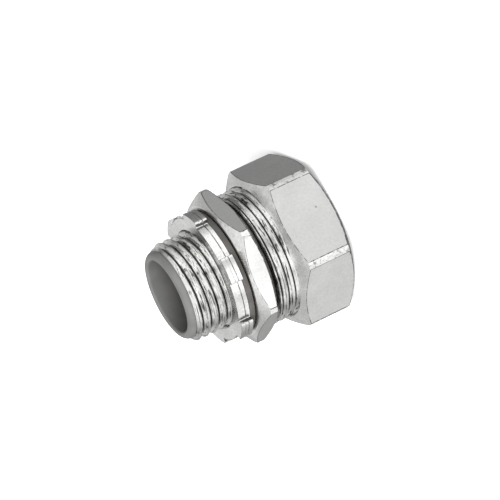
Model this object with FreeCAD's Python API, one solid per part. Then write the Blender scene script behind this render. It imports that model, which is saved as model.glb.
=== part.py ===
"""Compression fitting that ends a liquid-tight flexible conduit at a box knock-out.

The axis is +Z. The fitting stands on the conduit end of its gland nut at z = 0, and the
nipple that goes through the box wall points up. Every length is in millimetres.
"""
import FreeCAD, Part
import math
import os

V = FreeCAD.Vector

# Nipple: a parallel pipe thread of size 1/2, 14 turns to the inch.
NIPPLE_R = 10.478
NIPPLE_PITCH = 25.4 / 14
NIPPLE_DEPTH = 1.162
NIPPLE_END_CHAMFER = 1.0

# Gland thread: fine metric, 28 mm across.
GLAND_R = 14.1
GLAND_PITCH = 1.5
GLAND_DEPTH = 0.92
RUNNING = 0.06          # radial clearance of each nut on its thread
THREAD_CLEAR = 0.2      # how far a thread's cutting outline stands outside the cylinder
THREAD_SHARE = 0.01     # least share of a blank that its thread's groove removes

# Lengths along the axis, from the conduit end to the crest of the liner's lip.
NUT_HEIGHT = 12.5
OPEN_THREAD = 5.3       # gland thread left bare between the nut and the hexagon
FLANGE_THICK = 4.3
GASKET_THICK = 1.45
LOCK_NUT_THICK = 2.57
NIPPLE_LENGTH = 11.4
LIP_PROUD = 1.3

FLANGE_REAR_Z = NUT_HEIGHT + OPEN_THREAD
FLANGE_FRONT_Z = FLANGE_REAR_Z + FLANGE_THICK
NIPPLE_END_Z = FLANGE_FRONT_Z + NIPPLE_LENGTH
LIP_CREST_Z = NIPPLE_END_Z + LIP_PROUD

# Hexagons: distance across flats, diameter turned over the corners, turn about the axis.
NUT_FLATS = 31.0
NUT_CORNERS = 35.0
NUT_CHAMFER_DEG = 28.0
NUT_TURN_DEG = 0.0
FLANGE_FLATS = 29.2
FLANGE_CORNERS = 33.0
FLANGE_FRONT_CHAMFER_DEG = 32.0
FLANGE_REAR_CHAMFER_DEG = 24.0
FLANGE_TURN_DEG = 38.2
FLANGE_FACE_R = 14.0
NUT_MOUTH_R = 14.35
NUT_END_R = 14.45

# Body inside: liner seat, web, conduit socket and the cone that squeezes the ring.
LINER_SEAT_R = 8.55
LINER_FOOT_Z = 20.0
WEB_BORE_R = 7.75
WEB_REAR_Z = 18.6
SOCKET_R = 11.0
BODY_MOUTH_Z = 6.3
MOUTH_R = 12.6
CONE_DEG = 30.0
NECK_LENGTH = 1.2
RUN_OUT = 0.3           # how far short of the hexagon the groove stops, inside the neck
NECK_R = 13.0

# Throat liner.
LINER_OUTER_R = 8.5
LINER_BORE_R = 7.75
LIP_OUTER_R = 9.45
LIP_CREST_R = 8.3
LIP_GAP = 0.02          # between the lip and the end of the nipple

# Lock nut: a flat ring with six lugs.
LOCK_RING_R = 13.3
LUG_R = 14.5
LUG_COUNT = 6
LUG_HALF_DEG = 11.0
LUG_TURN_DEG = 19.8
LUG_ROOT_R = 12.0       # how deep each lug is sunk into the ring
LOCK_EDGE = 0.3

# Gasket.
GASKET_R = 13.3
GASKET_BORE_R = 10.6
GASKET_EDGE = 0.2

# Gland nut inside.
CONDUIT_HOLE_R = 10.8
SHOULDER_Z = 2.2
HOLE_CHAMFER = 0.5
TIGHTENING = 1.6        # free travel of the nut before it squeezes the ring

# Slip washer, compression ring and ferrule.
WASHER_THICK = 0.8
WASHER_BORE_R = 10.9
WASHER_R = 13.7
RING_GAP = 0.1
RING_BORE_R = 10.75
RING_COLLAR_R = 13.3
RING_NOSE_R = 11.25
FERRULE_BORE_R = 7.3
FERRULE_SLEEVE_R = 7.8
FERRULE_FLANGE_R = 10.7
FERRULE_FLANGE_THICK = 1.0
FERRULE_END_Z = 5.2
FERRULE_LEAD = 1.0      # length of the lead-in at the open end
BARB_ROOT = 0.2         # how deep a barb is sunk into the sleeve
BARB_PROUD = 0.3
BARB_LENGTH = 1.2
BARB_PITCH = 2.4
BARB_COUNT = 4


def turned(outline):
    """Solid of revolution about Z from (radius, z) points."""
    points = [V(r, 0, z) for r, z in outline]
    wire = Part.makePolygon(points + points[:1])
    return Part.Face(wire).revolve(V(0, 0, 0), V(0, 0, 1), 360)


def polar(radius, degrees, z=0.0):
    angle = math.radians(degrees)
    return V(radius * math.cos(angle), radius * math.sin(angle), z)


def hexagon(across_flats, z0, z1, turn_deg):
    corner_r = across_flats / 2 / math.cos(math.pi / 6)
    corners = [polar(corner_r, turn_deg + 60 * i, z0) for i in range(7)]
    return Part.Face(Part.makePolygon(corners)).extrude(V(0, 0, z1 - z0))


def rise(r0, r1, degrees):
    """Axial length of a chamfer from r0 to r1 whose face leans degrees from flat."""
    return (r1 - r0) * math.tan(math.radians(degrees))


def v_groove(major_r, depth, pitch, z0, z1):
    """Helical groove that cuts a right-hand thread into a cylinder of the major radius."""
    half_root = pitch / 12
    half_open = pitch / 2 - half_root
    outer_r = major_r + THREAD_CLEAR
    inner_r = major_r - depth
    spine = Part.Wire(Part.makeHelix(pitch, z1 - z0, major_r - depth / 2))
    outline = [
        V(outer_r, 0, -half_open),
        V(inner_r, 0, -half_root),
        V(inner_r, 0, half_root),
        V(outer_r, 0, half_open),
    ]
    section = Part.makePolygon(outline + outline[:1])
    groove = spine.makePipeShell([section], True, True)
    groove.translate(V(0, 0, z0))
    return groove


def cut_thread(blank, groove):
    """Cuts the groove, and stops if the cut left the blank as it was."""
    threaded = blank.cut(groove)
    if threaded.Volume > (1 - THREAD_SHARE) * blank.Volume:
        raise ValueError("the groove cut nothing")
    return threaded


def nipple():
    blank = turned([
        (0, FLANGE_FRONT_Z),
        (NIPPLE_R, FLANGE_FRONT_Z),
        (NIPPLE_R, NIPPLE_END_Z - NIPPLE_END_CHAMFER),
        (NIPPLE_R - NIPPLE_END_CHAMFER, NIPPLE_END_Z),
        (0, NIPPLE_END_Z),
    ])
    run_out_z = FLANGE_FRONT_Z + NIPPLE_PITCH / 2
    groove = v_groove(NIPPLE_R, NIPPLE_DEPTH, NIPPLE_PITCH,
                      run_out_z, NIPPLE_END_Z + NIPPLE_PITCH)
    return cut_thread(blank, groove)


def gland_thread():
    """Thread that runs from the body's mouth into the neck behind the hexagon."""
    neck_z = FLANGE_REAR_Z - NECK_LENGTH
    outside_r = GLAND_R + 1
    blank = turned([
        (0, BODY_MOUTH_Z),
        (GLAND_R - GLAND_DEPTH, BODY_MOUTH_Z),
        (GLAND_R, BODY_MOUTH_Z + GLAND_DEPTH),
        (GLAND_R, FLANGE_REAR_Z),
        (0, FLANGE_REAR_Z),
    ])
    groove = v_groove(GLAND_R, GLAND_DEPTH, GLAND_PITCH,
                      BODY_MOUTH_Z - GLAND_PITCH, FLANGE_REAR_Z - RUN_OUT)
    relief = turned([
        (NECK_R, neck_z),
        (outside_r, neck_z),
        (outside_r, FLANGE_REAR_Z + 1),
        (NECK_R, FLANGE_REAR_Z + 1),
    ])
    return cut_thread(blank, groove).cut(relief)


def flange():
    corner_r = FLANGE_CORNERS / 2
    front_drop = rise(FLANGE_FACE_R, corner_r, FLANGE_FRONT_CHAMFER_DEG)
    rear_drop = rise(FLANGE_FACE_R, corner_r, FLANGE_REAR_CHAMFER_DEG)
    envelope = turned([
        (0, FLANGE_REAR_Z),
        (FLANGE_FACE_R, FLANGE_REAR_Z),
        (corner_r, FLANGE_REAR_Z + rear_drop),
        (corner_r, FLANGE_FRONT_Z - front_drop),
        (FLANGE_FACE_R, FLANGE_FRONT_Z),
        (0, FLANGE_FRONT_Z),
    ])
    prism = hexagon(FLANGE_FLATS, FLANGE_REAR_Z, FLANGE_FRONT_Z, FLANGE_TURN_DEG)
    return envelope.common(prism)


def connector_body():
    outside = flange().fuse([nipple(), gland_thread()])
    cone_end_z = BODY_MOUTH_Z + (MOUTH_R - SOCKET_R) / math.tan(math.radians(CONE_DEG))
    inside = turned([
        (0, BODY_MOUTH_Z - 1),
        (MOUTH_R, BODY_MOUTH_Z - 1),
        (MOUTH_R, BODY_MOUTH_Z),
        (SOCKET_R, cone_end_z),
        (SOCKET_R, WEB_REAR_Z),
        (WEB_BORE_R, WEB_REAR_Z),
        (WEB_BORE_R, LINER_FOOT_Z),
        (LINER_SEAT_R, LINER_FOOT_Z),
        (LINER_SEAT_R, NIPPLE_END_Z + 1),
        (0, NIPPLE_END_Z + 1),
    ])
    return outside.cut(inside)


def quarter_round(centre_r, centre_z, radius, start_deg):
    """A quarter circle in the outline plane, counter-clockwise from start_deg."""
    def at(degrees):
        angle = math.radians(degrees)
        return V(centre_r + radius * math.cos(angle), 0, centre_z + radius * math.sin(angle))

    return Part.Arc(at(start_deg), at(start_deg + 45), at(start_deg + 90)).toShape()


def throat_liner():
    """Tube with a rounded lip that covers the end of the nipple."""
    under_lip = NIPPLE_END_Z + LIP_GAP
    outer_round = LIP_OUTER_R - LIP_CREST_R
    inner_round = LIP_CREST_R - LINER_BORE_R
    outer_z = LIP_CREST_Z - outer_round
    inner_z = LIP_CREST_Z - inner_round
    bore = V(LINER_BORE_R, 0, LINER_FOOT_Z)
    foot = V(LINER_OUTER_R, 0, LINER_FOOT_Z)
    neck = V(LINER_OUTER_R, 0, under_lip)
    rim = V(LIP_OUTER_R, 0, under_lip)
    edges = [
        Part.makeLine(neck, rim),
        Part.makeLine(rim, V(LIP_OUTER_R, 0, outer_z)),
        quarter_round(LIP_CREST_R, outer_z, outer_round, 0),
        quarter_round(LIP_CREST_R, inner_z, inner_round, 90),
        Part.makeLine(V(LINER_BORE_R, 0, inner_z), bore),
        Part.makeLine(bore, foot),
        Part.makeLine(foot, neck),
    ]
    face = Part.Face(Part.Wire(Part.__sortEdges__(edges)))
    return face.revolve(V(0, 0, 0), V(0, 0, 1), 360)


def lock_nut():
    z0 = FLANGE_FRONT_Z + GASKET_THICK
    z1 = z0 + LOCK_NUT_THICK
    ring = Part.makeCylinder(LOCK_RING_R, LOCK_NUT_THICK, V(0, 0, z0))
    lugs = [lug(z0, LUG_TURN_DEG + 360 / LUG_COUNT * i) for i in range(LUG_COUNT)]
    edge_drop = 2 * LOCK_EDGE
    envelope = turned([
        (0, z0),
        (LUG_R - edge_drop, z0),
        (LUG_R, z0 + LOCK_EDGE),
        (LUG_R, z1 - LOCK_EDGE),
        (LUG_R - LOCK_EDGE, z1),
        (0, z1),
    ])
    bore = Part.makeCylinder(NIPPLE_R + RUNNING, LOCK_NUT_THICK + 2, V(0, 0, z0 - 1))
    return ring.fuse(lugs).common(envelope).cut(bore)


def lug(z0, centre_deg):
    side_a = centre_deg - LUG_HALF_DEG
    side_b = centre_deg + LUG_HALF_DEG
    edges = [
        Part.makeLine(polar(LUG_ROOT_R, side_a, z0), polar(LUG_R, side_a, z0)),
        Part.Arc(polar(LUG_R, side_a, z0), polar(LUG_R, centre_deg, z0),
                 polar(LUG_R, side_b, z0)).toShape(),
        Part.makeLine(polar(LUG_R, side_b, z0), polar(LUG_ROOT_R, side_b, z0)),
        Part.makeLine(polar(LUG_ROOT_R, side_b, z0), polar(LUG_ROOT_R, side_a, z0)),
    ]
    return Part.Face(Part.Wire(edges)).extrude(V(0, 0, LOCK_NUT_THICK))


def sealing_gasket():
    z0 = FLANGE_FRONT_Z
    z1 = z0 + GASKET_THICK
    return turned([
        (GASKET_BORE_R, z0),
        (GASKET_R, z0),
        (GASKET_R, z1 - GASKET_EDGE),
        (GASKET_R - GASKET_EDGE, z1),
        (GASKET_BORE_R, z1),
    ])


def gland_nut():
    corner_r = NUT_CORNERS / 2
    mouth_drop = rise(NUT_MOUTH_R, corner_r, NUT_CHAMFER_DEG)
    end_drop = rise(NUT_END_R, corner_r, NUT_CHAMFER_DEG)
    envelope = turned([
        (0, 0),
        (NUT_END_R, 0),
        (corner_r, end_drop),
        (corner_r, NUT_HEIGHT - mouth_drop),
        (NUT_MOUTH_R, NUT_HEIGHT),
        (0, NUT_HEIGHT),
    ])
    prism = hexagon(NUT_FLATS, 0, NUT_HEIGHT, NUT_TURN_DEG)
    bore_r = GLAND_R + RUNNING
    inside = turned([
        (0, -1),
        (CONDUIT_HOLE_R + HOLE_CHAMFER, -1),
        (CONDUIT_HOLE_R + HOLE_CHAMFER, 0),
        (CONDUIT_HOLE_R, HOLE_CHAMFER),
        (CONDUIT_HOLE_R, SHOULDER_Z),
        (bore_r, SHOULDER_Z),
        (bore_r, NUT_HEIGHT + 1),
        (0, NUT_HEIGHT + 1),
    ])
    return envelope.common(prism).cut(inside)


def slip_washer():
    z0 = SHOULDER_Z + TIGHTENING
    z1 = z0 + WASHER_THICK
    return turned([(WASHER_BORE_R, z0), (WASHER_R, z0), (WASHER_R, z1), (WASHER_BORE_R, z1)])


def compression_ring():
    """Tapered ring whose nose goes into the cone at the body's mouth."""
    rear_z = SHOULDER_Z + TIGHTENING + WASHER_THICK + RING_GAP
    collar_top = BODY_MOUTH_Z - 2 * RING_GAP
    slope = math.tan(math.radians(CONE_DEG))
    taper_r = MOUTH_R - 2 * RING_GAP
    nose_z = BODY_MOUTH_Z + (taper_r - RING_NOSE_R) / slope
    return turned([
        (RING_BORE_R, rear_z),
        (RING_COLLAR_R, rear_z),
        (RING_COLLAR_R, collar_top),
        (taper_r, collar_top),
        (taper_r, BODY_MOUTH_Z),
        (RING_NOSE_R, nose_z),
        (RING_BORE_R, nose_z),
    ])


def conduit_ferrule():
    """Sleeve that goes inside the conduit, with a flange over the conduit's cut end."""
    flange_rear = WEB_REAR_Z - FERRULE_FLANGE_THICK
    sleeve = turned([
        (FERRULE_BORE_R, FERRULE_END_Z),
        (FERRULE_SLEEVE_R - BARB_ROOT, FERRULE_END_Z),
        (FERRULE_SLEEVE_R, FERRULE_END_Z + FERRULE_LEAD),
        (FERRULE_SLEEVE_R, flange_rear),
        (FERRULE_FLANGE_R, flange_rear),
        (FERRULE_FLANGE_R, WEB_REAR_Z),
        (FERRULE_BORE_R, WEB_REAR_Z),
    ])
    barbs = [barb(FERRULE_END_Z + 2 * FERRULE_LEAD + BARB_PITCH * i) for i in range(BARB_COUNT)]
    return sleeve.fuse(barbs)


def barb(z0):
    seat_r = FERRULE_SLEEVE_R - BARB_ROOT
    return turned([
        (seat_r, z0),
        (FERRULE_SLEEVE_R, z0),
        (FERRULE_SLEEVE_R + BARB_PROUD, z0 + BARB_LENGTH),
        (seat_r, z0 + BARB_LENGTH),
    ])


NODES = {
    "connector_body": connector_body,
    "throat_liner": throat_liner,
    "lock_nut": lock_nut,
    "sealing_gasket": sealing_gasket,
    "gland_nut": gland_nut,
    "slip_washer": slip_washer,
    "compression_ring": compression_ring,
    "conduit_ferrule": conduit_ferrule,
}

os.makedirs("parts", exist_ok=True)
for name, make in NODES.items():
    shape = make()
    shape.exportStep(f"parts/{name}.step")
    box = shape.BoundBox
    print(name, "valid", shape.isValid(), "solids", len(shape.Solids),
          "volume", round(shape.Volume, 1), "z", round(box.ZMin, 2), round(box.ZMax, 2))
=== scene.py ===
import math

import bmesh
import bpy
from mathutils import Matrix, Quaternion, Vector


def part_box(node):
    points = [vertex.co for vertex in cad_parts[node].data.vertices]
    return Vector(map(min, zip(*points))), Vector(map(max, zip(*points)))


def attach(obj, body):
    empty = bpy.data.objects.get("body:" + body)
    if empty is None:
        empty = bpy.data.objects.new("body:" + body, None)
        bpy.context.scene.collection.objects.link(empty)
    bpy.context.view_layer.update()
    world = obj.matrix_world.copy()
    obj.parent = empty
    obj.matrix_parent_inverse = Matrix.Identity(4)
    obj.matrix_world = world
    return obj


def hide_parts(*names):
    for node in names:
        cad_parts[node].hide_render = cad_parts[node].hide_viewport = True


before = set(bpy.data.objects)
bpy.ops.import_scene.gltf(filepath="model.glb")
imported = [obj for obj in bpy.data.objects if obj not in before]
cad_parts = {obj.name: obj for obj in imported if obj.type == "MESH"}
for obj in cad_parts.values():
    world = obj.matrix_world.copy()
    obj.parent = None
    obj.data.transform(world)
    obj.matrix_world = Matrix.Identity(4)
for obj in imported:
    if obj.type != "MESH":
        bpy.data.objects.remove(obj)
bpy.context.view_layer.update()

MM = 0.001
MICRON = 0.001 * MM

FLANGE_THICK = 4.3      # of the body's hexagon, in millimetres

# Levels along the axis, read from the frame, in millimetres.
MOUTH_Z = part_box("connector_body")[0].z / MM
NIPPLE_END_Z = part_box("connector_body")[1].z / MM
NUT_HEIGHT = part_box("gland_nut")[1].z / MM
GASKET_Z0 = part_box("sealing_gasket")[0].z / MM
GASKET_Z1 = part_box("sealing_gasket")[1].z / MM
LOCK_Z0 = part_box("lock_nut")[0].z / MM
LOCK_Z1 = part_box("lock_nut")[1].z / MM
LINER_FOOT_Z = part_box("throat_liner")[0].z / MM
LIP_CREST_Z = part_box("throat_liner")[1].z / MM
WEB_REAR_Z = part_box("conduit_ferrule")[1].z / MM
FLANGE_FRONT_Z = GASKET_Z0
FLANGE_REAR_Z = FLANGE_FRONT_Z - FLANGE_THICK

# Threads, in millimetres: (outer radius, depth, pitch). The nipple has 14 turns to the inch.
NIPPLE_THREAD = (10.47, 1.16, 25.4 / 14)
GLAND_THREAD = (14.1, 0.92, 1.5)
RUNNING = 0.06          # radial clearance of each nut on its thread
LEAD_IN = 0.25          # length of the chamfer at the mouth of a nut's bore
SUNK = 0.5              # how far each threaded tube runs into the hexagon

# Connector body and liner, in millimetres.
NIPPLE_END_CHAMFER = 1.0
NECK_R = 13.0
NECK_LENGTH = 1.2
SOCKET_R = 11.0
MOUTH_R = 12.6
CONE_DEG = 30.0
LINER_SEAT_R = 8.55
WEB_BORE_R = 7.75
LINER_OUTER_R = 8.5
LIP_OUTER_R = 9.45
LIP_CREST_R = 8.3
LIP_GAP = 0.02          # between the lip and the end of the nipple

# Hexagons, in millimetres and degrees: across flats, diameter over the corners, radius of the
# flat face and angle of the chamfer at the (low, high) end, and turn about the axis.
NUT_FLATS = 31.0
NUT_CORNERS = 35.0
NUT_FACES = (14.45, 14.35)
NUT_LEANS = (28, 28)
NUT_TURN_DEG = 0.0
FLANGE_FLATS = 29.2
FLANGE_CORNERS = 33.0
FLANGE_FACES = (14.0, 14.0)
FLANGE_LEANS = (24, 32)
FLANGE_TURN_DEG = 38.2

# Inside of the gland nut, in millimetres.
CONDUIT_HOLE_R = 10.8
SHOULDER_Z = 2.2
HOLE_CHAMFER = 0.5

# Lock nut, in millimetres and degrees.
LOCK_RING_R = 13.3
LUG_R = 14.5
LUG_COUNT = 6
LUG_HALF_DEG = 11.0
LUG_TURN_DEG = 19.8

EDGE_LINE = 0.16        # width of the painted dark line, painted shade, along the edges of a milled flat
ANGLES = 240            # points round a turned or threaded surface
THREAD_ROWS = 20        # points along one pitch of a thread
WELD = 1e-5             # points closer than this are one point

# A thread's flank falls from crest to root by two shares of its depth: one in a straight line,
# and one as a power of the way, which rounds the crest.
STRAIGHT_SHARE = 0.45
ROUNDED_SHARE = 0.55
ROUNDED_POWER = 1.5

# How a hexagon's faces were cut, and where painted shade lines a flat's edge, as places in its list of
# materials.
FLAT, LATHE_CUT, FLAT_EDGE_SHADE, CORNER = range(4)


def finished(name, bm, body, node, materials, sharp_deg):
    """Turns a bmesh in millimetres into a piece that rides on its body."""
    bmesh.ops.remove_doubles(bm, verts=bm.verts, dist=WELD)
    bmesh.ops.dissolve_degenerate(bm, edges=bm.edges, dist=WELD)
    bmesh.ops.recalc_face_normals(bm, faces=bm.faces)
    bmesh.ops.scale(bm, verts=bm.verts, vec=(MM, MM, MM))
    mesh = bpy.data.meshes.new(name)
    bm.to_mesh(mesh)
    bm.free()
    for face in mesh.polygons:
        face.use_smooth = True
    mesh.set_sharp_from_angle(angle=math.radians(sharp_deg))
    for material in materials:
        mesh.materials.append(material)
    piece = bpy.data.objects.new(name, mesh)
    bpy.context.scene.collection.objects.link(piece)
    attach(piece, body)
    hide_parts(node)
    return piece


def rounded_edges(piece, width_mm, angle_deg, segments=3):
    bevel = piece.modifiers.new("rounded_edges", "BEVEL")
    bevel.width = width_mm * MM
    bevel.segments = segments
    bevel.limit_method = "ANGLE"
    bevel.angle_limit = math.radians(angle_deg)
    bevel.harden_normals = True
    return piece


def around(angle, r, z):
    """Point at a radius and a height, turned by an angle from +X."""
    return (r * math.cos(angle), r * math.sin(angle), z)


def ring_of(bm, radius_at, z_at):
    """One closed ring of points whose radius and height are functions of the angle."""
    points = []
    for i in range(ANGLES):
        angle = 2 * math.pi * i / ANGLES
        points.append(bm.verts.new(around(angle, radius_at(angle), z_at(angle))))
    return points


def bridge(bm, low, high):
    """Closes the band between two rings with one face to each point, and returns the faces."""
    count = len(low)
    faces = []
    for i in range(count):
        k = (i + 1) % count
        faces.append(bm.faces.new((low[i], low[k], high[k], high[i])))
    return faces


def lathe(bm, outline):
    """Closed solid of revolution from (radius, z) points."""
    rings = [ring_of(bm, lambda a, r=r: r, lambda a, z=z: z) for r, z in outline]
    for low, high in zip(rings, rings[1:] + rings[:1]):
        bridge(bm, low, high)


def arc(centre, radius, start_deg, end_deg, steps):
    """Points of a round stretch of an outline, as (radius, z)."""
    points = []
    for i in range(steps + 1):
        angle = math.radians(start_deg + (end_deg - start_deg) * i / steps)
        points.append((centre[0] + radius * math.cos(angle), centre[1] + radius * math.sin(angle)))
    return points


def threaded_tube(bm, thread, z0, z1, inner, limit):
    """Tube with a right-hand thread outside.

    inner is the way back down the inside, as (radius, z) points. limit(z) is the largest radius
    at a height, and trims the crests at the ends.
    """
    major_r, depth, pitch = thread

    def radius(z, angle):
        phase = (z / pitch - angle / (2 * math.pi)) % 1.0
        from_crest = abs(2 * phase - 1)
        rounded = from_crest ** ROUNDED_POWER
        fall = STRAIGHT_SHARE * from_crest + ROUNDED_SHARE * rounded
        return min(major_r - depth * fall, limit(z))

    # The lines of points follow the helix, and are held between the two ends.
    lines = []
    for j in range(THREAD_ROWS * (math.ceil((z1 - z0) / pitch) + 2)):
        line = []
        for i in range(ANGLES):
            angle = 2 * math.pi * i / ANGLES
            z = z0 + pitch * (j / THREAD_ROWS + i / ANGLES - 1)
            z = min(max(z, z0), z1)
            line.append(bm.verts.new(around(angle, radius(z, angle), z)))
        lines.append(line)
    for j, (line, above) in enumerate(zip(lines, lines[1:])):
        for i in range(ANGLES - 1):
            bm.faces.new((line[i], line[i + 1], above[i + 1], above[i]))
        if j + 1 + THREAD_ROWS < len(lines):
            start, start_above = lines[j + THREAD_ROWS][0], lines[j + 1 + THREAD_ROWS][0]
            bm.faces.new((line[-1], start, start_above, above[-1]))

    rings = [ring_of(bm, lambda a: radius(z1, a), lambda a: z1)]
    rings += [ring_of(bm, lambda a, r=r: r, lambda a, z=z: z) for r, z in inner]
    rings.append(ring_of(bm, lambda a: radius(z0, a), lambda a: z0))
    for one, other in zip(rings, rings[1:]):
        bridge(bm, one, other)


def hexagon_columns(flats, corners, turn_deg):
    """(angle, radius, finish) round a hexagon whose corners are turned to a diameter."""
    per_flat = 26
    per_strip = 4
    apothem = flats / 2
    corner_r = corners / 2
    half_flat = math.acos(apothem / corner_r)
    half_strip = math.radians(30) - half_flat
    half_inner = math.atan(math.tan(half_flat) - EDGE_LINE / apothem)
    columns = []
    for k in range(6):
        corner = math.radians(turn_deg + 60 * k)
        for i in range(per_strip):
            columns.append((corner - half_strip + 2 * half_strip * i / per_strip, corner_r, CORNER))
        middle = corner + math.radians(30)
        columns.append((middle - half_flat, corner_r, FLAT_EDGE_SHADE))
        for i in range(per_flat + 1):
            off = half_inner * (2 * i / per_flat - 1)
            finish = FLAT if i < per_flat else FLAT_EDGE_SHADE
            columns.append((middle + off, apothem / math.cos(off), finish))
    return columns


def hexagon_solid(bm, columns, z0, z1, face_r, lean, bore):
    """Hexagon with turned chamfers. face_r and lean are (low, high); bore is (r, z) down the inside.

    A face's material says how it was cut: a milled flat, a corner strip, or any other face from the
    lathe. The line along a flat's edge carries painted shade.
    """
    def chamfer(r, end):
        return (r - face_r[end]) * math.tan(math.radians(lean[end]))

    rings = [
        [(face_r[0], z0) for _ in columns],
        [(r, z0 + chamfer(r, 0)) for _, r, _ in columns],
        [(r, z0 + chamfer(r, 0) + EDGE_LINE) for _, r, _ in columns],
        [(r, z1 - chamfer(r, 1) - EDGE_LINE) for _, r, _ in columns],
        [(r, z1 - chamfer(r, 1)) for _, r, _ in columns],
        [(face_r[1], z1) for _ in columns],
    ]
    rings += [[point for _ in columns] for point in bore]
    made = []
    for ring in rings:
        made.append([bm.verts.new(around(angle, r, z)) for (angle, _, _), (r, z) in zip(columns, ring)])
    shaded_edge_bands = (1, 3)
    flat_band = 2
    for band, (low, high) in enumerate(zip(made, made[1:] + made[:1])):
        for (_, _, finish), face in zip(columns, bridge(bm, low, high)):
            # edge bands outside the corner strips take the painted shade along a flat's edge
            if band == flat_band or (band in shaded_edge_bands and finish == CORNER):
                face.material_index = finish
            else:
                face.material_index = FLAT_EDGE_SHADE if band in shaded_edge_bands else LATHE_CUT


# Nodes that the materials and the studio are made of.

def new_material(name):
    material = bpy.data.materials.new(name)
    material.use_nodes = True
    tree = material.node_tree
    return material, tree, tree.nodes["Principled BSDF"]


def add(tree, kind, **values):
    """New node. Each value goes to the input of that name, or else to the node's own setting."""
    node = tree.nodes.new(kind)
    for key, value in values.items():
        if key in node.inputs:
            node.inputs[key].default_value = value
        else:
            setattr(node, key, value)
    return node


def noise(tree, coords, scale, detail, rough=0.55):
    """Noise from 0 to 1. Its scale is in repeats to the metre."""
    node = add(tree, "ShaderNodeTexNoise", Scale=scale, Detail=detail, Roughness=rough)
    tree.links.new(coords, node.inputs["Vector"])
    return node.outputs["Fac"]


def ramp(tree, value, low, high, at_low=0.0, at_high=1.0, shape="LINEAR"):
    """Maps value from at_low..at_high to low..high."""
    node = add(tree, "ShaderNodeMapRange", interpolation_type=shape)
    node.inputs["From Min"].default_value = at_low
    node.inputs["From Max"].default_value = at_high
    node.inputs["To Min"].default_value = low
    node.inputs["To Max"].default_value = high
    tree.links.new(value, node.inputs["Value"])
    return node.outputs["Result"]


def maths(tree, operation, a, b):
    """One arithmetic step on two values, each a number or a socket."""
    node = add(tree, "ShaderNodeMath", operation=operation)
    for socket, value in zip(node.inputs, (a, b)):
        if isinstance(value, (int, float)):
            socket.default_value = value
        else:
            tree.links.new(value, socket)
    return node.outputs[0]


def weighted_sum(tree, *terms):
    """Sum of (value, weight) terms."""
    parts = [maths(tree, "MULTIPLY", value, weight) for value, weight in terms]
    total = parts[0]
    for part in parts[1:]:
        total = maths(tree, "ADD", total, part)
    return total


def mix_colour(tree, share, at_zero, at_one):
    """Mixes two colours, each a tuple or a socket."""
    node = add(tree, "ShaderNodeMix", data_type="RGBA")
    tree.links.new(share, node.inputs["Factor"])
    for socket, value in (("A", at_zero), ("B", at_one)):
        if isinstance(value, tuple):
            node.inputs[socket].default_value = (*value, 1)
        else:
            tree.links.new(value, node.inputs[socket])
    return node.outputs["Result"]


def bump(tree, shader, microns):
    """Relief whose height is a value in microns."""
    node = add(tree, "ShaderNodeBump", Strength=1.0, Distance=MICRON)
    tree.links.new(microns, node.inputs["Height"])
    tree.links.new(node.outputs["Normal"], shader.inputs["Normal"])


def levelled(tree, vector):
    """The part of a vector that is square to Z."""
    flat = add(tree, "ShaderNodeVectorMath", operation="MULTIPLY")
    tree.links.new(vector, flat.inputs[0])
    flat.inputs[1].default_value = (1, 1, 0)
    return flat.outputs["Vector"]


def split_xyz(tree, vector):
    split = add(tree, "ShaderNodeSeparateXYZ")
    tree.links.new(vector, split.inputs[0])
    return split.outputs


def object_coords(tree):
    return add(tree, "ShaderNodeTexCoord").outputs["Object"]


def from_axis(tree, coords):
    """Distance from the axis of the fitting."""
    length = add(tree, "ShaderNodeVectorMath", operation="LENGTH")
    tree.links.new(levelled(tree, coords), length.inputs[0])
    return length.outputs["Value"]


def turning_coords(tree, coords, turning=0.06):
    """Coordinates that change slowly round the axis, for the marks of a lathe tool.

    turning is the rate of that slow change.
    """
    x, y, z = split_xyz(tree, coords)
    joined = add(tree, "ShaderNodeCombineXYZ")
    tree.links.new(from_axis(tree, coords), joined.inputs[0])
    tree.links.new(z, joined.inputs[1])
    tree.links.new(maths(tree, "MULTIPLY", maths(tree, "ADD", x, y), turning), joined.inputs[2])
    return joined.outputs[0]


# Materials.

TONE_SPAN = (0.36, 0.64)        # the middle of the noise, spread over the plate's whole tone
SKIN_SPAN = (0.3, 0.7)          # the same for a moulded skin
BORE_SHADE_SPAN = (0.3, 7.0)     # depths below the lip's crest between which the painted shade in the bore deepens
BORE_SKIN = 0.1                 # how far outside the bore's radius is still its wall
ROOT_SPAN = (0.95, 0.68)        # shares of a thread's depth between which the painted shade in its roots fades out


def plated_metal(name, dark, light, rough, speckle, blotch, marks):
    """Zinc plate: slow clouding, fine speckle and lathe marks.

    rough is (smooth, matt); speckle, blotch and marks are the heights of their relief in microns.
    """
    smooth, matt = rough
    material, tree, shader = new_material(name)
    coords = object_coords(tree)
    clouds = noise(tree, coords, scale=170.0, detail=3.0)
    fine = noise(tree, coords, scale=1800.0, detail=3.0, rough=0.6)
    blotches = noise(tree, coords, scale=520.0, detail=2.0, rough=0.5)
    lathe_marks = noise(tree, turning_coords(tree, coords), scale=2600.0, detail=2.0, rough=0.6)
    tone = weighted_sum(tree, (clouds, 0.45), (fine, 0.55))
    colour = mix_colour(tree, ramp(tree, tone, 0.0, 1.0, *TONE_SPAN), dark, light)
    tree.links.new(colour, shader.inputs["Base Color"])
    tree.links.new(ramp(tree, tone, matt, smooth, *TONE_SPAN), shader.inputs["Roughness"])
    bump(tree, shader, weighted_sum(tree, (fine, speckle), (blotches, blotch), (lathe_marks, marks)))
    shader.inputs["Metallic"].default_value = 1.0
    return material


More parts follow.
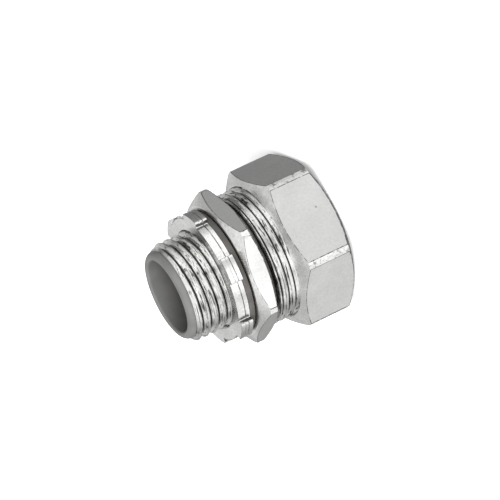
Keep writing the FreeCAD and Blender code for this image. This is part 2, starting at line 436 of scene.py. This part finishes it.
def soft_material(name, dark, light, rough, scale, relief):
    """Moulded plastic or rubber with a matt, slightly uneven skin.

    rough is (low, high), and relief is the height of the skin's grain in microns.
    """
    grain_scale = scale * 9
    material, tree, shader = new_material(name)
    coords = object_coords(tree)
    broad = noise(tree, coords, scale=scale, detail=3.0)
    grain = noise(tree, coords, scale=grain_scale, detail=3.0)
    colour = mix_colour(tree, ramp(tree, broad, 0.0, 1.0, *SKIN_SPAN), dark, light)
    tree.links.new(colour, shader.inputs["Base Color"])
    tree.links.new(ramp(tree, grain, *rough, *SKIN_SPAN), shader.inputs["Roughness"])
    bump(tree, shader, maths(tree, "MULTIPLY", grain, relief))
    return material


def darken(material, where, colour):
    """Lays a dark colour over a material where where(tree, coords) gives 1."""
    tree = material.node_tree
    base = tree.nodes["Principled BSDF"].inputs["Base Color"]
    over = mix_colour(tree, where(tree, object_coords(tree)), base.links[0].from_socket, colour)
    tree.links.new(over, base)
    return material


def pits(tree, coords):
    """Small dark specks, a few to each flat."""
    spots = add(tree, "ShaderNodeTexVoronoi", Scale=330.0)
    tree.links.new(coords, spots.inputs["Vector"])
    spot = ramp(tree, spots.outputs["Distance"], 1.0, 0.0, at_low=0.03, at_high=0.10)
    sparse = ramp(tree, noise(tree, coords, scale=90.0, detail=1.0), 0.0, 1.0, at_low=0.50, at_high=0.58)
    return maths(tree, "MULTIPLY", spot, sparse)


def painted_edge_shade(tree, coords):
    """Painted shade along most of an edge, fainter in places."""
    gaps = noise(tree, coords, scale=700.0, detail=2.0, rough=0.7)
    return ramp(tree, gaps, 0.25, 1.0, at_low=0.38, at_high=0.50)


def scuffs(tree, coords):
    """Scattered dark rubs."""
    rubs = noise(tree, coords, scale=1100.0, detail=3.0, rough=0.7)
    return ramp(tree, rubs, 0.0, 0.75, at_low=0.54, at_high=0.64)


def painted_bore_shade(tree, coords):
    """Painted shade in the liner's bore: 0 at its lip, and up to 0.9 deep inside."""
    start, end = [(LIP_CREST_Z - depth) * MM for depth in BORE_SHADE_SPAN]
    deep = ramp(tree, split_xyz(tree, coords)["Z"], 0.0, 0.9, start, end)
    wall_r = (WEB_BORE_R + BORE_SKIN) * MM
    bore_face = ramp(tree, from_axis(tree, coords), 1.0, 0.0, wall_r, LIP_CREST_R * MM)
    return maths(tree, "MULTIPLY", deep, bore_face)


def painted_thread_shade(thread):
    """Painted shade in the roots, and broken dark streaks along the thread that are painted dark
    reflections.
    """
    outer_r, depth, _ = thread
    dark_r, clean_r = [(outer_r - share * depth) * MM for share in ROOT_SPAN]

    def where(tree, coords):
        root = ramp(tree, from_axis(tree, coords), 1.0, 0.0, dark_r, clean_r, "SMOOTHSTEP")
        along = turning_coords(tree, coords, turning=0.12)
        streaks = noise(tree, along, scale=3600.0, detail=2.0, rough=0.7)
        patches = noise(tree, coords, scale=300.0, detail=2.0)
        level = weighted_sum(tree, (streaks, 0.7), (patches, 0.3))
        streak = ramp(tree, level, 0.0, 0.95, at_low=0.54, at_high=0.59)
        return maths(tree, "MAXIMUM", root, streak)

    return where


SATIN = plated_metal("satin_plate", dark=(0.68, 0.68, 0.67), light=(0.80, 0.80, 0.79),
                     rough=(0.30, 0.38), speckle=5, blotch=7, marks=0)
# metal that carries the painted shade along edges
SHADED_EDGE_PLATE = plated_metal("painted_shade_edge_plate", dark=(0.68, 0.68, 0.67), light=(0.80, 0.80, 0.79),
                    rough=(0.24, 0.34), speckle=12, blotch=14, marks=0)
STRIP = plated_metal("corner_plate", dark=(0.66, 0.66, 0.65), light=(0.92, 0.92, 0.91),
                     rough=(0.22, 0.32), speckle=16, blotch=26, marks=10)
TURNED = plated_metal("turned_plate", dark=(0.62, 0.62, 0.61), light=(0.90, 0.90, 0.89),
                      rough=(0.24, 0.34), speckle=12, blotch=18, marks=10)
NIPPLE_PLATE = plated_metal("nipple_plate", dark=(0.74, 0.74, 0.73), light=(0.97, 0.97, 0.96),
                            rough=(0.07, 0.15), speckle=5, blotch=26, marks=30)
GLAND_PLATE = plated_metal("gland_plate", dark=(0.74, 0.74, 0.73), light=(0.97, 0.97, 0.96),
                           rough=(0.07, 0.15), speckle=5, blotch=26, marks=30)
RIM = plated_metal("lock_nut_plate", dark=(0.68, 0.68, 0.67), light=(0.92, 0.92, 0.91),
                   rough=(0.18, 0.28), speckle=12, blotch=34, marks=6)
PRESSED = plated_metal("pressed_steel", dark=(0.55, 0.55, 0.54), light=(0.70, 0.70, 0.69),
                       rough=(0.26, 0.36), speckle=4, blotch=8, marks=8)
LINER = soft_material("liner_plastic", dark=(0.080, 0.080, 0.078), light=(0.098, 0.098, 0.096),
                      rough=(0.42, 0.52), scale=300.0, relief=3)
RUBBER = soft_material("gasket_rubber", dark=(0.044, 0.041, 0.038), light=(0.066, 0.062, 0.058),
                       rough=(0.6, 0.75), scale=400.0, relief=14)
NYLON = soft_material("ring_nylon", dark=(0.70, 0.68, 0.62), light=(0.78, 0.76, 0.70),
                      rough=(0.35, 0.5), scale=300.0, relief=4)

# colour of the painted shade in the threads' roots and of their painted dark reflection streaks
THREAD_SHADE = (0.07, 0.068, 0.065)
darken(SATIN, pits, (0.20, 0.20, 0.195))
# painted shade along the edges of flats and of the lock nut
darken(SHADED_EDGE_PLATE, painted_edge_shade, (0.10, 0.10, 0.097))
darken(STRIP, scuffs, (0.14, 0.14, 0.136))
# painted shade in the thread roots and painted dark reflections along the threads
darken(NIPPLE_PLATE, painted_thread_shade(NIPPLE_THREAD), THREAD_SHADE)
darken(GLAND_PLATE, painted_thread_shade(GLAND_THREAD), THREAD_SHADE)
# painted shade: the liner's bore darkens with depth
darken(LINER, painted_bore_shade, (0.012, 0.010, 0.009))

HEXAGON_PLATES = [SATIN, TURNED, SHADED_EDGE_PLATE, STRIP]


# Pieces.

def nipple():
    bm = bmesh.new()
    foot_z = FLANGE_FRONT_Z - SUNK
    inner = [(LINER_SEAT_R, NIPPLE_END_Z), (LINER_SEAT_R, foot_z)]

    def limit(z):
        return NIPPLE_THREAD[0] - NIPPLE_END_CHAMFER + NIPPLE_END_Z - z

    threaded_tube(bm, NIPPLE_THREAD, foot_z, NIPPLE_END_Z, inner, limit)
    return finished("box_nipple", bm, "connector", "connector_body",
                    [NIPPLE_PLATE], sharp_deg=60)


def gland_thread():
    bm = bmesh.new()
    major_r, depth, _ = GLAND_THREAD
    top = FLANGE_REAR_Z + SUNK
    neck_z = FLANGE_REAR_Z - NECK_LENGTH
    neck_slope = 2
    cone_z = MOUTH_Z + (MOUTH_R - SOCKET_R) / math.tan(math.radians(CONE_DEG))
    inner = [(SOCKET_R, top), (SOCKET_R, cone_z), (MOUTH_R, MOUTH_Z)]

    def limit(z):
        if z > neck_z:
            return max(NECK_R, major_r - neck_slope * (z - neck_z))
        return major_r - depth + z - MOUTH_Z

    threaded_tube(bm, GLAND_THREAD, MOUTH_Z, top, inner, limit)
    return finished("gland_thread", bm, "connector", "connector_body",
                    [GLAND_PLATE], sharp_deg=60)


def hexagon_flange():
    bm = bmesh.new()
    columns = hexagon_columns(FLANGE_FLATS, FLANGE_CORNERS, FLANGE_TURN_DEG)
    bore = [
        (LINER_SEAT_R, FLANGE_FRONT_Z),
        (LINER_SEAT_R, LINER_FOOT_Z),
        (WEB_BORE_R, LINER_FOOT_Z),
        (WEB_BORE_R, WEB_REAR_Z),
        (SOCKET_R, WEB_REAR_Z),
        (SOCKET_R, FLANGE_REAR_Z),
    ]
    hexagon_solid(bm, columns, FLANGE_REAR_Z, FLANGE_FRONT_Z, FLANGE_FACES, FLANGE_LEANS, bore)
    piece = finished("hexagon_flange", bm, "connector", "connector_body",
                     HEXAGON_PLATES, sharp_deg=18)
    return rounded_edges(piece, width_mm=0.10, angle_deg=18)


def gland_nut():
    bm = bmesh.new()
    columns = hexagon_columns(NUT_FLATS, NUT_CORNERS, NUT_TURN_DEG)
    thread_r = GLAND_THREAD[0] + RUNNING
    bore = [
        (thread_r + LEAD_IN / 2, NUT_HEIGHT),
        (thread_r, NUT_HEIGHT - LEAD_IN),
        (thread_r, SHOULDER_Z),
        (CONDUIT_HOLE_R, SHOULDER_Z),
        (CONDUIT_HOLE_R, HOLE_CHAMFER),
        (CONDUIT_HOLE_R + HOLE_CHAMFER, 0.0),
    ]
    hexagon_solid(bm, columns, 0.0, NUT_HEIGHT, NUT_FACES, NUT_LEANS, bore)
    piece = finished("gland_nut_hexagon", bm, "gland_nut", "gland_nut",
                     HEXAGON_PLATES, sharp_deg=18)
    return rounded_edges(piece, width_mm=0.12, angle_deg=18)


def lug_columns():
    """(angle, radius, on_lug) round the lock nut, with a small fillet at each lug's foot."""
    fillet = 0.15
    corner = 0.30
    bend_steps = 4
    crest_steps = 10
    gap_steps = 20
    pitch_deg = 360 / LUG_COUNT
    half = math.radians(LUG_HALF_DEG)

    # One side of a lug, from the ring up to its crest, as offsets from the lug's centre.
    side = []
    for i in range(bend_steps):
        bend = math.pi / 2 * i / bend_steps
        side.append((half + fillet / LOCK_RING_R * (1 - math.sin(bend)),
                     LOCK_RING_R + fillet * (1 - math.cos(bend)), False))
    for i in range(bend_steps + 1):
        bend = math.pi / 2 * i / bend_steps
        side.append((half - corner / LUG_R * (1 - math.cos(bend)),
                     LUG_R - corner * (1 - math.sin(bend)), True))
    reach = half - corner / LUG_R
    bare = half + fillet / LOCK_RING_R
    gap = math.radians(pitch_deg) - 2 * bare

    columns = []
    for k in range(LUG_COUNT):
        centre = math.radians(LUG_TURN_DEG + pitch_deg * k)
        columns += [(centre - off, r, lug) for off, r, lug in side]
        columns += [(centre + reach * (2 * i / crest_steps - 1), LUG_R, True)
                    for i in range(1, crest_steps)]
        columns += [(centre + off, r, lug) for off, r, lug in reversed(side)]
        columns += [(centre + bare + gap * i / gap_steps, LOCK_RING_R, False)
                    for i in range(1, gap_steps)]
    return columns


def lock_nut():
    """Flat ring with six rounded lugs. A line is rolled round its rim, and one more on each lug. Painted
    shade lines the rim's edges, the lugs' sides and the floor of the line round the rim.
    """
    bm = bmesh.new()
    columns = lug_columns()
    bore_r = NIPPLE_THREAD[0] + RUNNING
    rim_line = 0.14
    line_depth = 0.16
    line_mouth = 0.12       # half the width of a rolled line at the rim
    line_floor = 0.05       # and at its bottom
    round_line_z = LOCK_Z0 + 0.92
    lug_line_z = LOCK_Z0 + 1.70
    # faces given the second material carry painted shade: the rim's edges, the lugs' sides and the round
    # line's floor
    clean, shaded_line = 0, 1

    def inner(r, z, finish=clean):
        return [(angle, r, z) for angle, _, _ in columns], finish

    def rim(z, ring_depth=0.0, lug_depth=0.0, finish=clean):
        points = [(angle, r - (lug_depth if on_lug else ring_depth), z) for angle, r, on_lug in columns]
        return points, finish

    levels = [inner(bore_r, LOCK_Z0 + LEAD_IN), inner(bore_r + LEAD_IN, LOCK_Z0)]
    levels += [rim(LOCK_Z0, rim_line, rim_line, shaded_line), rim(LOCK_Z0)]
    for z, ring_depth, finish in ((round_line_z, line_depth, shaded_line), (lug_line_z, 0.0, clean)):
        levels.append(rim(z - line_mouth))
        levels.append(rim(z - line_floor, ring_depth, line_depth, finish))
        levels.append(rim(z + line_floor, ring_depth, line_depth))
        levels.append(rim(z + line_mouth))
    levels += [rim(LOCK_Z1, finish=shaded_line), rim(LOCK_Z1, rim_line, rim_line)]
    levels += [inner(bore_r + LEAD_IN, LOCK_Z1), inner(bore_r, LOCK_Z1 - LEAD_IN)]
    rings = [[bm.verts.new(around(*point)) for point in points] for points, _ in levels]
    for (_, finish), low, high in zip(levels, rings, rings[1:] + rings[:1]):
        for i, face in enumerate(bridge(bm, low, high)):
            on_lug_side = columns[i][2] != columns[(i + 1) % len(columns)][2]
            face.material_index = shaded_line if on_lug_side else finish
    piece = finished("lock_nut_ring", bm, "lock_nut", "lock_nut",
                     [RIM, SHADED_EDGE_PLATE], sharp_deg=30)
    return rounded_edges(piece, width_mm=0.10, angle_deg=50)


def sealing_gasket():
    bm = bmesh.new()
    outer_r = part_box("sealing_gasket")[1].x / MM
    inner_r = 10.6
    side_gap = 0.10
    edge = 0.22
    low, high = GASKET_Z0 + side_gap, GASKET_Z1 - side_gap
    outline = [(inner_r, low)]
    outline += arc((outer_r - edge, low + edge), edge, -90, 0, steps=6)
    outline += arc((outer_r - edge, high - edge), edge, 0, 90, steps=6)
    outline.append((inner_r, high))
    lathe(bm, outline)
    return finished("gasket_ring", bm, "gasket", "sealing_gasket",
                    [RUBBER], sharp_deg=50)


def throat_liner():
    bm = bmesh.new()
    seat = NIPPLE_END_Z + LIP_GAP
    outer_round = LIP_OUTER_R - LIP_CREST_R
    inner_round = LIP_CREST_R - WEB_BORE_R
    outline = [(LINER_OUTER_R, seat), (LIP_OUTER_R, seat)]
    outline += arc((LIP_CREST_R, LIP_CREST_Z - outer_round), outer_round, 0, 90, steps=14)
    outline += arc((LIP_CREST_R, LIP_CREST_Z - inner_round), inner_round, 90, 180, steps=10)[1:]
    outline += [(WEB_BORE_R, LINER_FOOT_Z), (LINER_OUTER_R, LINER_FOOT_Z)]
    lathe(bm, outline)
    return finished("throat_lip", bm, "connector", "throat_liner",
                    [LINER], sharp_deg=50)


def turned_piece(name, outline, body, node, material, edge_mm):
    bm = bmesh.new()
    lathe(bm, outline)
    piece = finished(name, bm, body, node, [material], sharp_deg=30)
    return rounded_edges(piece, edge_mm, angle_deg=30, segments=2)


def slip_washer():
    low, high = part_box("slip_washer")
    z0, z1, r = low.z / MM, high.z / MM, high.x / MM
    bore_r = 10.9
    outline = [(bore_r, z0), (r, z0), (r, z1), (bore_r, z1)]
    return turned_piece("thrust_washer", outline, "washer", "slip_washer",
                        PRESSED, edge_mm=0.12)


def compression_ring():
    """Ring with a flat collar and a nose that tapers into the body's mouth."""
    low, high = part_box("compression_ring")
    z0, z1, r = low.z / MM, high.z / MM, high.x / MM
    bore_r = 10.75
    nose_root_r = 12.4
    nose_tip_r = 11.25
    collar_z = MOUTH_Z - 0.2
    outline = [
        (bore_r, z0),
        (r, z0),
        (r, collar_z),
        (nose_root_r, collar_z),
        (nose_root_r, MOUTH_Z),
        (nose_tip_r, z1),
        (bore_r, z1),
    ]
    return turned_piece("grip_ring", outline, "connector", "compression_ring",
                        NYLON, edge_mm=0.1)


def conduit_ferrule():
    """Sleeve with a thinned lead-in, barbs outside and a flange at its far end."""
    low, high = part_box("conduit_ferrule")
    z0, z1, r = low.z / MM, high.z / MM, high.x / MM
    bore_r = 7.3
    sleeve_r = 7.8
    lead_in = 1
    lead_in_depth = 0.2
    flange_thick = 1
    barb_count = 4
    first_barb = 2
    barb_pitch = 2.4
    barb_proud = 0.3
    barb_length = 1.2
    barb_back = 1.25        # where the barb's steep back meets the sleeve again
    outline = [(bore_r, z0), (sleeve_r - lead_in_depth, z0), (sleeve_r, z0 + lead_in)]
    for i in range(barb_count):
        z = z0 + first_barb + barb_pitch * i
        outline += [(sleeve_r, z), (sleeve_r + barb_proud, z + barb_length), (sleeve_r, z + barb_back)]
    outline += [(sleeve_r, z1 - flange_thick), (r, z1 - flange_thick), (r, z1), (bore_r, z1)]
    return turned_piece("ferrule_sleeve", outline, "connector", "conduit_ferrule",
                        PRESSED, edge_mm=0.1)


for make in (nipple, gland_thread, hexagon_flange, gland_nut, lock_nut, sealing_gasket,
             throat_liner, slip_washer, compression_ring, conduit_ferrule):
    make()


# Floor, light and camera.

# Soft boxes round the fitting: (azimuth, half width, brightness), in degrees, seen from the fitting.
SOFT_BOXES = ((-48, 44, 0.85), (-122, 36, 0.88), (178, 34, 0.60), (104, 22, 0.15), (60, 24, 0.35))
# The raised box behind: (direction, half width in degrees, brightness).
REAR_BOX = (Vector((0.1, 0.93, 0.38)).normalized(), 30, 0.45)

# The room is brightest at the key's azimuth. Its brightness swings this far about its mean.
KEY_AZIMUTH = -130
ROOM_LEVEL = 0.40
ROOM_SWING = 0.22

# (brightness, where it starts, where it is full), by the Z of a direction of length 1.
CEILING = (1.0, 0.45, 0.95)
GROUND = (0.04, -0.5, -0.9)

# The lamp stands in this direction, and lights the floor and the plastics.
FILL_FROM = (-0.45, -0.66, 0.60)
FILL_STRENGTH = 6.5
FILL_WIDTH_DEG = 60

# Floor, in metres: just under the fitting, so that two faces don't share a plane.
FLOOR_SIZE = 12.0
FLOOR_Z = -0.00005

# Camera, in degrees, metres, and millimetres for the lens.
CAMERA_AZIMUTH_DEG = 8.22
CAMERA_ELEVATION_DEG = 19.44
CAMERA_ROLL_DEG = 115.27
CAMERA_DISTANCE = 0.5193
CAMERA_AIM = Vector((0.00126, -0.00103, 0.01502))
CAMERA_LENS = 186.9
CAMERA_SENSOR = 36
CAMERA_CLIP_START = 0.01


def facing(tree, direction, target):
    """Cosine of the angle between two directions."""
    dot = add(tree, "ShaderNodeVectorMath", operation="DOT_PRODUCT")
    tree.links.new(direction, dot.inputs[0])
    dot.inputs[1].default_value = target
    return dot.outputs["Value"]


def level_direction(azimuth_deg):
    return around(math.radians(azimuth_deg), 1, 0)


def soft_box(tree, direction, target, half_width, brightness):
    edge = math.cos(math.radians(half_width))
    return ramp(tree, facing(tree, direction, target), 0.0, brightness, edge, 1.0, "SMOOTHSTEP")


def studio_glow(tree, direction):
    """Brightness of the studio in a direction: soft boxes around, a pale ceiling, dim ground."""
    normalised = add(tree, "ShaderNodeVectorMath", operation="NORMALIZE")
    tree.links.new(levelled(tree, direction), normalised.inputs[0])
    level = normalised.outputs["Vector"]
    glow = ramp(tree, facing(tree, level, level_direction(KEY_AZIMUTH)),
                ROOM_LEVEL - ROOM_SWING, ROOM_LEVEL + ROOM_SWING, at_low=-1.0, at_high=1.0)
    for azimuth, half_width, brightness in SOFT_BOXES:
        box = soft_box(tree, level, level_direction(azimuth), half_width, brightness)
        glow = maths(tree, "ADD", glow, box)
    glow = maths(tree, "ADD", glow, soft_box(tree, direction, *REAR_BOX))
    height = split_xyz(tree, direction)["Z"]
    for brightness, start, end in (CEILING, GROUND):
        blend = add(tree, "ShaderNodeMix")
        tree.links.new(ramp(tree, height, 0.0, 1.0, start, end), blend.inputs["Factor"])
        tree.links.new(glow, blend.inputs["A"])
        blend.inputs["B"].default_value = brightness
        glow = blend.outputs["Result"]
    return glow


def floor():
    """Pale floor, which the metal doesn't mirror."""
    bpy.ops.mesh.primitive_plane_add(size=FLOOR_SIZE, location=(0, 0, FLOOR_Z))
    plane = bpy.context.object
    plane.name = "floor"
    material, _, shader = new_material("pale_floor")
    shader.inputs["Base Color"].default_value = (0.9, 0.9, 0.9, 1)
    shader.inputs["Roughness"].default_value = 0.9
    plane.data.materials.append(material)
    plane.visible_glossy = False


def studio():
    """The studio that the metal reflects, and a lamp that whitens the floor and the plastics."""
    world = bpy.data.worlds.new("studio")
    bpy.context.scene.world = world
    world.use_nodes = True
    tree = world.node_tree
    direction = add(tree, "ShaderNodeTexCoord").outputs["Generated"]
    background = tree.nodes["Background"]
    tree.links.new(studio_glow(tree, direction), background.inputs["Strength"])
    background.inputs["Color"].default_value = (1, 1, 1, 1)
    lamp_data = bpy.data.lights.new("floor_fill", "SUN")
    lamp_data.energy = FILL_STRENGTH
    lamp_data.angle = math.radians(FILL_WIDTH_DEG)
    lamp = bpy.data.objects.new("floor_fill", lamp_data)
    lamp.rotation_mode = "QUATERNION"
    lamp.rotation_quaternion = Vector(FILL_FROM).to_track_quat("Z", "Y")
    lamp.visible_glossy = False
    bpy.context.scene.collection.objects.link(lamp)


def camera():
    """Camera whose roll lays the standing fitting on its side in the picture."""
    azimuth = math.radians(CAMERA_AZIMUTH_DEG)
    elevation = math.radians(CAMERA_ELEVATION_DEG)
    looking = Vector((math.sin(azimuth) * math.cos(elevation),
                      math.cos(azimuth) * math.cos(elevation),
                      -math.sin(elevation)))
    lens = bpy.data.cameras.new("camera")
    lens.lens = CAMERA_LENS
    lens.sensor_width = CAMERA_SENSOR
    lens.clip_start = CAMERA_CLIP_START
    view = bpy.data.objects.new("camera", lens)
    view.location = CAMERA_AIM - looking * CAMERA_DISTANCE
    view.rotation_mode = "QUATERNION"
    upright = looking.to_track_quat("-Z", "Y")
    view.rotation_quaternion = upright @ Quaternion(Vector((0, 0, -1)), math.radians(CAMERA_ROLL_DEG))
    bpy.context.scene.collection.objects.link(view)
    bpy.context.scene.camera = view


floor()
studio()
camera()
bpy.context.scene.view_settings.view_transform = "Standard"
